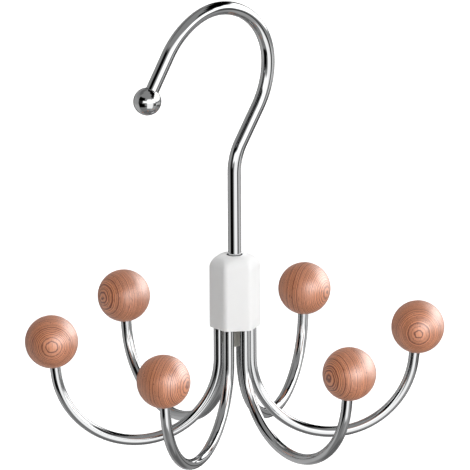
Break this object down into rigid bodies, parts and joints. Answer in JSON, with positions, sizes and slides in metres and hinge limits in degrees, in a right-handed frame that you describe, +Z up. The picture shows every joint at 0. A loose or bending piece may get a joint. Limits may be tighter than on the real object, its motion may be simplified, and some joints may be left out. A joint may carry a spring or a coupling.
{
  "type": "rotating multi-hook hanger",
  "caption": "Rotating hanger for belts, ties and scarves: a wire hook turns in a white housing that carries curved wire arms with wooden ball ends.",
  "frame": {"origin": "the place under the hook's crown where a wardrobe rail bears", "axes": "+Z up; the hook lies in the XZ plane with its tip towards -X, and the swivel axis is parallel to Z at x = 9.06 mm"},
  "size_m": [0.1745, 0.1976, 0.2132],
  "materials": {
    "chrome": "polished",
    "white_plastic": "moulded, half gloss",
    "natural_nylon": "matt",
    "spring_steel": "blued",
    "beech": "turned and lacquered"
  },
  "bodies": {
    "hook": {"hook_rod": "chrome", "hook_tip_ball": "chrome", "lower_clip": "spring_steel", "upper_clip": "spring_steel", "lower_thrust_washer": "natural_nylon", "upper_thrust_washer": "natural_nylon"},
    "carousel": {"housing": "white_plastic", "hub": "natural_nylon", "lower_bush": "natural_nylon", "upper_bush": "natural_nylon", "arm_1": "chrome", "arm_2": "chrome", "arm_3": "chrome", "arm_4": "chrome", "arm_5": "chrome", "arm_6": "chrome", "wood_ball_1": "beech", "wood_ball_2": "beech", "wood_ball_3": "beech", "wood_ball_4": "beech", "wood_ball_5": "beech", "wood_ball_6": "beech"}
  },
  "joints": [
    {"name": "swivel", "type": "hinge", "parent": "hook", "child": "carousel", "pos_m": [0.00906, 0, -0.15087], "axis": [0, 0, 1], "continuous": true}
  ]
}
